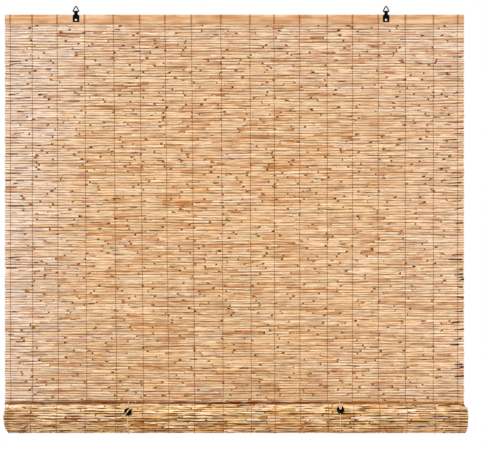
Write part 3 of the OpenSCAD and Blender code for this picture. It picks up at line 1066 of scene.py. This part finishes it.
TWINE_SEED = 70
STRAND_R = 0.47 * MM
STRAND_SIDES = 5
STRAND_SWAY, STRAND_WANDER = mm(0.45, 0.9)
WANDER_PER_M, WANDER_PER_ROW = 40, 0.23
STRAND_STEPS = (-0.5, -0.3, 0.0, 0.3)
HIDDEN_STEPS = (-0.5, 0.0)
# How far a strand's middle is off the stems, by its radius, and how squarely it goes over them
STRAND_PRESS = 0.8
STRAND_ROUNDING = 0.38
PANEL_POINTS = PANEL_ROWS * len(STRAND_STEPS)
ROLL_TWINE_TINT = (1.2, 1.15, 1.1, 0)
LEAST_REACH = 2.4 * MM
# The twines' lean, which is most left of the middle: its place and reach, in shares of the width
MOST_LEAN = 9.5 * MM
LEAN_SHARE, LEAN_FALL = -0.17, 0.2
LOOP_R = 0.31 * MM
LOOP_SIDES = 6
LOOP_STEP, LOOP_SLANT, LOOP_CORNER = mm(1.25, 0.6, 1.3)
LOOP_PRESS = 0.9


def stems_at(row, x, side):
    """How far the stems at x stand out of the mat on one side, and how far they are shifted along it."""
    reach, shift = LEAST_REACH, 0.0
    for reed in stems_over(row, x):
        along, lift = reed.stray(x)
        if side * lift + reed.radius(x) > reach:
            reach, shift = side * lift + reed.radius(x), along
    return reach, shift


def strand_path(x_middle, lean, hand):
    """One of a twine's two strands: it goes over and under the rows and twists round its fellow."""
    sides = [hand if row % 2 else -hand for row in range(ALL_ROWS)]
    xs = []
    for row in range(ALL_ROWS):
        place = Vector((x_middle * WANDER_PER_M, row * WANDER_PER_ROW, STRAND_LAYER))
        wander = STRAND_WANDER * noise.noise(place)
        xs.append(x_middle + lean * (min(1.0, row / PANEL_ROWS) - 0.5) + wander)
    stems = [stems_at(row, xs[row], sides[row]) for row in range(ALL_ROWS)]
    path = []
    for row in range(ALL_ROWS):
        height = stems[row][0] + STRAND_R * STRAND_PRESS
        for step in (STRAND_STEPS if row < SEEN_ROWS else HIDDEN_STEPS):
            beside = min(max(row + (1 if step > 0 else -1), 0), ALL_ROWS - 1)
            shift = blend((stems[row][1], stems[beside][1]), abs(step))
            rise = sides[row] * height * max(0.0, cos(pi * step)) ** STRAND_ROUNDING
            sway = STRAND_SWAY * sin(pi * step)
            path.append(mat_point(xs[row] - sway, row + step + shift / REED_PITCH, rise))
    return path


def batten_loop(x, slant, reach):
    """A turn of twine round the head batten."""
    half_y = BATTEN_T / 2 + reach
    half_z = BATTEN_H / 2 + reach
    middle_z = (batten_low.z + batten_high.z) / 2
    path = []
    for quarter, (sign_y, sign_z) in enumerate(((1, 1), (-1, 1), (-1, -1), (1, -1))):
        for step in range(4):
            angle = pi / 2 * (quarter + step / 3)
            y = MAT_Y + sign_y * (half_y - LOOP_CORNER) + LOOP_CORNER * cos(angle)
            z = middle_z + sign_z * (half_z - LOOP_CORNER) + LOOP_CORNER * sin(angle)
            path.append(Vector((x + slant * (z - middle_z) / BATTEN_H, y, z)))
    return path


def build_twines():
    """The binding twines: two strands twined down the mat and tied round the batten."""
    for number in range(1, TWINE_COUNT + 1):
        node = f"binding_twine_{number:02d}"
        low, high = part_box(node)
        x = (low.x + high.x) / 2
        lean = MOST_LEAN * falloff(x / (2 * HALF_W) - LEAN_SHARE, LEAN_FALL)
        dice = random.Random(TWINE_SEED + number)
        mesh = Mesh(f"twine_{number:02d}")
        for hand in (1, -1):
            path = strand_path(x, lean, hand)
            mesh.tube(path[:PANEL_POINTS + 1], STRAND_R, STRAND_SIDES)
            mesh.tube(path[PANEL_POINTS:], STRAND_R, STRAND_SIDES, ROLL_TWINE_TINT)
        for turn in (-1, 0, 1):
            slant = dice.uniform(-LOOP_SLANT, LOOP_SLANT)
            loop = batten_loop(x - lean / 2 + turn * LOOP_STEP, slant, LOOP_R * LOOP_PRESS)
            mesh.tube(loop, LOOP_R, LOOP_SIDES, closed=True)
        piece = mesh.build(TWINE)
        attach(piece, "blind")
        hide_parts(node)


TIE_R, TIE_OUT, TIE_TWIST, TIE_STEP = mm(1.1, 3.4, 7, 0.9)
# Three plies make a rope: how far off its middle they lie and how thick they are, as shares of its radius
PLIES = 3
PLY_OFFSET, PLY_R = 0.48, 0.54
PLY_SIDES = 6
TOGGLE_LIFTS = {"left": radians(26), "right": radians(34)}
STRING_R, STRING_TWIST = mm(1.05, 5)
KNOT_R = 1.5 * MM
KNOT_STEPS, KNOT_SIDES = 6, 10
# Ways of the loose strings at each toggle and the knots' places, in millimetres: across, up and out
TOGGLE_STRINGS = {
    "left": [
        [(-12.5, -12, -0.5), (-10.5, -10, 0.4), (-8, -7.6, 1.9), (-5, -5, 4.0), (0, 0, 6.7),
         (3.5, 3.5, 6.6), (6.2, 6.2, 5.4), (7.4, 7.6, 2.6), (8.0, 9.5, -0.2), (7.0, 12, -1.2)],
    ],
    "right": [
        [(sign * across, up, out) for across, up, out in (
            (6.5, 27, -0.6), (5.4, 18, 0.2), (4.3, 11, 2.2), (3.3, 7.5, 4.8),
            (2.0, 3.5, 6.0), (1.0, 0.8, 6.2), (0.4, -0.6, 4.2),
        )] for sign in (-1, 1)
    ],
}
KNOT_PLACES = {"left": (0, 0.3, 6.4), "right": (0, 1.6, 5.6)}


def arc(centre, radius, start, end):
    """Points (y, z) along an arc, about a millimetre apart."""
    steps = max(2, int(abs(end - start) * radius / TIE_STEP))
    angles = [start + (end - start) * step / steps for step in range(steps + 1)]
    y, z = centre
    return [(y + radius * cos(angle), z + radius * sin(angle)) for angle in angles]


def straight(start, end):
    """Points (y, z) along a line, without its ends."""
    steps = max(2, int(dist(start, end) / TIE_STEP))
    return [tuple(blend(parts, step / steps) for parts in zip(start, end)) for step in range(1, steps)]


def tie_loop():
    """The tie cord's way in (y, z): under the roll, up its front, over it and a reed, down the back."""
    low = (turn_centre_y(1), ROLL_Z)
    top = (turn_centre_y(2), ROLL_Z)
    reed = (MAT_Y, FIRST_ROW_Z - TIE_ROW * REED_PITCH)
    low_r, top_r = turn_radius(1) + TIE_OUT, turn_radius(2) + TIE_OUT
    apart = (reed[0] - top[0], reed[1] - top[1])
    leave = atan2(apart[1], apart[0]) + acos((top_r - TIE_OUT) / hypot(*apart))
    under = arc(low, low_r, 0, -pi)
    over = arc(top, top_r, pi, leave)[1:]
    bend = arc(reed, TIE_OUT, leave, 0)
    return under + over + straight(over[-1], bend[0]) + bend + straight(bend[-1], under[0])


def add_rope(mesh, path, radius, twist, closed=False):
    """Plies twisted along a path."""
    lengths = [0.0]
    for first, second in zip(path, path[1:]):
        lengths.append(lengths[-1] + (second - first).length)
    whole = lengths[-1] + ((path[0] - path[-1]).length if closed else 0)
    turns = max(1, round(whole / twist))
    across = Vector((1, 0, 0))
    for ply in range(PLIES):
        strand = []
        for i, point in enumerate(path):
            ahead = heading(path, i, closed)
            side = (across - ahead * across.dot(ahead)).normalized()
            other = ahead.cross(side)
            angle = 2 * pi * (turns * lengths[i] / whole + ply / PLIES)
            strand.append(point + (side * cos(angle) + other * sin(angle)) * radius * PLY_OFFSET)
        mesh.tube(strand, radius * PLY_R, PLY_SIDES, closed=closed)


def smooth(points, steps=7):
    """A smooth line through points, by a cubic curve between each two of them."""
    line = []
    for i in range(len(points) - 1):
        before, start, end, after = (points[min(max(i + k, 0), len(points) - 1)] for k in (-1, 0, 1, 2))
        for step in range(steps):
            share = step / steps
            line.append(0.5 * (
                2 * start + (end - before) * share
                + (2 * before - 5 * start + 4 * end - after) * share ** 2
                + (3 * start - before - 3 * end + after) * share ** 3
            ))
    return line + [points[-1]]


def toggle_point(x, lift, place):
    """A point by a toggle: across and up from its middle on the roll, and out from the tie cord's line."""
    across, up, out = mm(*place)
    radius = turn_radius(2) + TIE_OUT
    angle = pi - lift - up / radius
    y = turn_centre_y(2) + (radius + out) * cos(angle)
    return Vector((x + across, y, ROLL_Z + (radius + out) * sin(angle)))


def add_knot(mesh, place, radius):
    """A small round knot."""
    pole = Vector((0, 0, radius))
    angles = [pi * step / KNOT_STEPS for step in range(KNOT_STEPS + 1)]
    path = [place + pole * cos(angle) for angle in angles]
    radii = [max(0.05, sin(angle)) * radius for angle in angles]
    mesh.tube(path, radii, KNOT_SIDES)


def build_ties():
    """The tie cords with their strings through the toggles."""
    for side, lift in TOGGLE_LIFTS.items():
        low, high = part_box(f"tie_cord_{side}")
        x = (low.x + high.x) / 2
        mesh = Mesh(f"cord_{side}")
        add_rope(mesh, [Vector((x, y, z)) for y, z in tie_loop()], TIE_R, TIE_TWIST, closed=True)
        for string in TOGGLE_STRINGS[side]:
            points = [toggle_point(x, lift, place) for place in string]
            add_rope(mesh, smooth(points), STRING_R, STRING_TWIST)
        add_knot(mesh, toggle_point(x, lift, KNOT_PLACES[side]), KNOT_R)
        piece = mesh.build(CORD)
        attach(piece, "blind")
        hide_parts(f"tie_cord_{side}")


def build_finishes():
    """Materials of the CAD nodes that stay as they are."""
    finishes = {"head_batten": HEAD_WOOD, "bottom_batten": CORE_WOOD}
    for side in ("left", "right"):
        finishes[f"hanger_plate_{side}"] = ENAMEL
        finishes[f"hanger_ring_{side}"] = ENAMEL
        finishes[f"hanger_screw_{side}"] = ZINC
        finishes[f"cord_toggle_{side}"] = PLASTIC
    for node, material in finishes.items():
        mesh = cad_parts[node].data
        mesh.materials.clear()
        mesh.materials.append(material)


FLOOR_HALF, FLOOR_Z = 1.9, -1.9
SUN_DISTANCE = 3
# The sky's light grows from dim to bright with the height of its direction
SKY_LOW, SKY_DIM, SKY_HIGH, SKY_BRIGHT = -0.6, 0.12, 1.0, 0.8


def build_floor():
    """A plain sheet of white paper, far below the blind."""
    mesh = bpy.data.meshes.new("floor")
    signs = ((-1, -1), (1, -1), (1, 1), (-1, 1))
    mesh.from_pydata([(x * FLOOR_HALF, y * FLOOR_HALF, FLOOR_Z) for x, y in signs], [], [(0, 1, 2, 3)])
    mesh.materials.append(PAPER)
    floor = add_object("floor", mesh)


def build_sky():
    """A white backdrop for the camera and reflections, and a softer light from above for the rest."""
    world = bpy.data.worlds.new("studio")
    scene.world = world
    world.use_nodes = True
    sky = Nodes(world.node_tree)
    sky.tree.nodes.clear()
    seen, lit = (sky.add("ShaderNodeBackground") for _ in range(2))
    for background in (seen, lit):
        set_inputs(background, {"Color": (1, 1, 1, 1)})
    towards = sky.add("ShaderNodeSeparateXYZ")
    sky.link(sky.add("ShaderNodeTexCoord").outputs["Generated"], towards.inputs["Vector"])
    strength = sky.spread(towards.outputs["Z"], SKY_LOW, SKY_HIGH, SKY_DIM, SKY_BRIGHT)
    sky.link(strength, lit.inputs["Strength"])
    rays = sky.add("ShaderNodeLightPath")
    direct = rays.outputs["Is Camera Ray"]
    for key in ("Is Glossy Ray", "Is Transmission Ray"):
        either = sky.add("ShaderNodeMath", operation="MAXIMUM")
        sky.link(direct, either.inputs[0])
        sky.link(rays.outputs[key], either.inputs[1])
        direct = either.outputs["Value"]
    choose = sky.add("ShaderNodeMixShader")
    sky.link(direct, choose.inputs["Fac"])
    sky.link(lit.outputs["Background"], choose.inputs[1])
    sky.link(seen.outputs["Background"], choose.inputs[2])
    sky.link(choose.outputs["Shader"], sky.add("ShaderNodeOutputWorld").inputs["Surface"])


def add_sun(name, energy, angle, aim):
    lamp = bpy.data.lights.new(name, "SUN")
    lamp.energy = energy
    lamp.angle = radians(angle)
    holder = add_object(name, lamp)
    holder.rotation_mode = "QUATERNION"
    holder.rotation_quaternion = aim.to_track_quat("-Z", "Y")
    holder.location = -SUN_DISTANCE * aim


def build_camera():
    """The photo's frontal view from about five metres."""
    distance = 5.0
    seen_width = 1.0503
    sensor_width = 36
    middle_x, middle_z = 0.0142, -0.473
    camera = bpy.data.cameras.new("camera")
    camera.sensor_width = sensor_width
    camera.lens = sensor_width * distance / seen_width
    camera.clip_end = 6 * distance
    holder = add_object("camera", camera)
    holder.location = (middle_x, MAT_Y - distance, middle_z)
    holder.rotation_euler = (pi / 2, 0, 0)
    scene.camera = holder


build_mat()
build_twines()
build_ties()
build_finishes()
build_floor()
build_sky()
add_sun("key", energy=2.62, angle=14, aim=Vector((0.30, 1.0, -0.72)))
add_sun("back_fill", energy=1.2, angle=20, aim=Vector((-0.35, -1.0, -0.5)))
build_camera()
scene.view_settings.view_transform = "Standard"
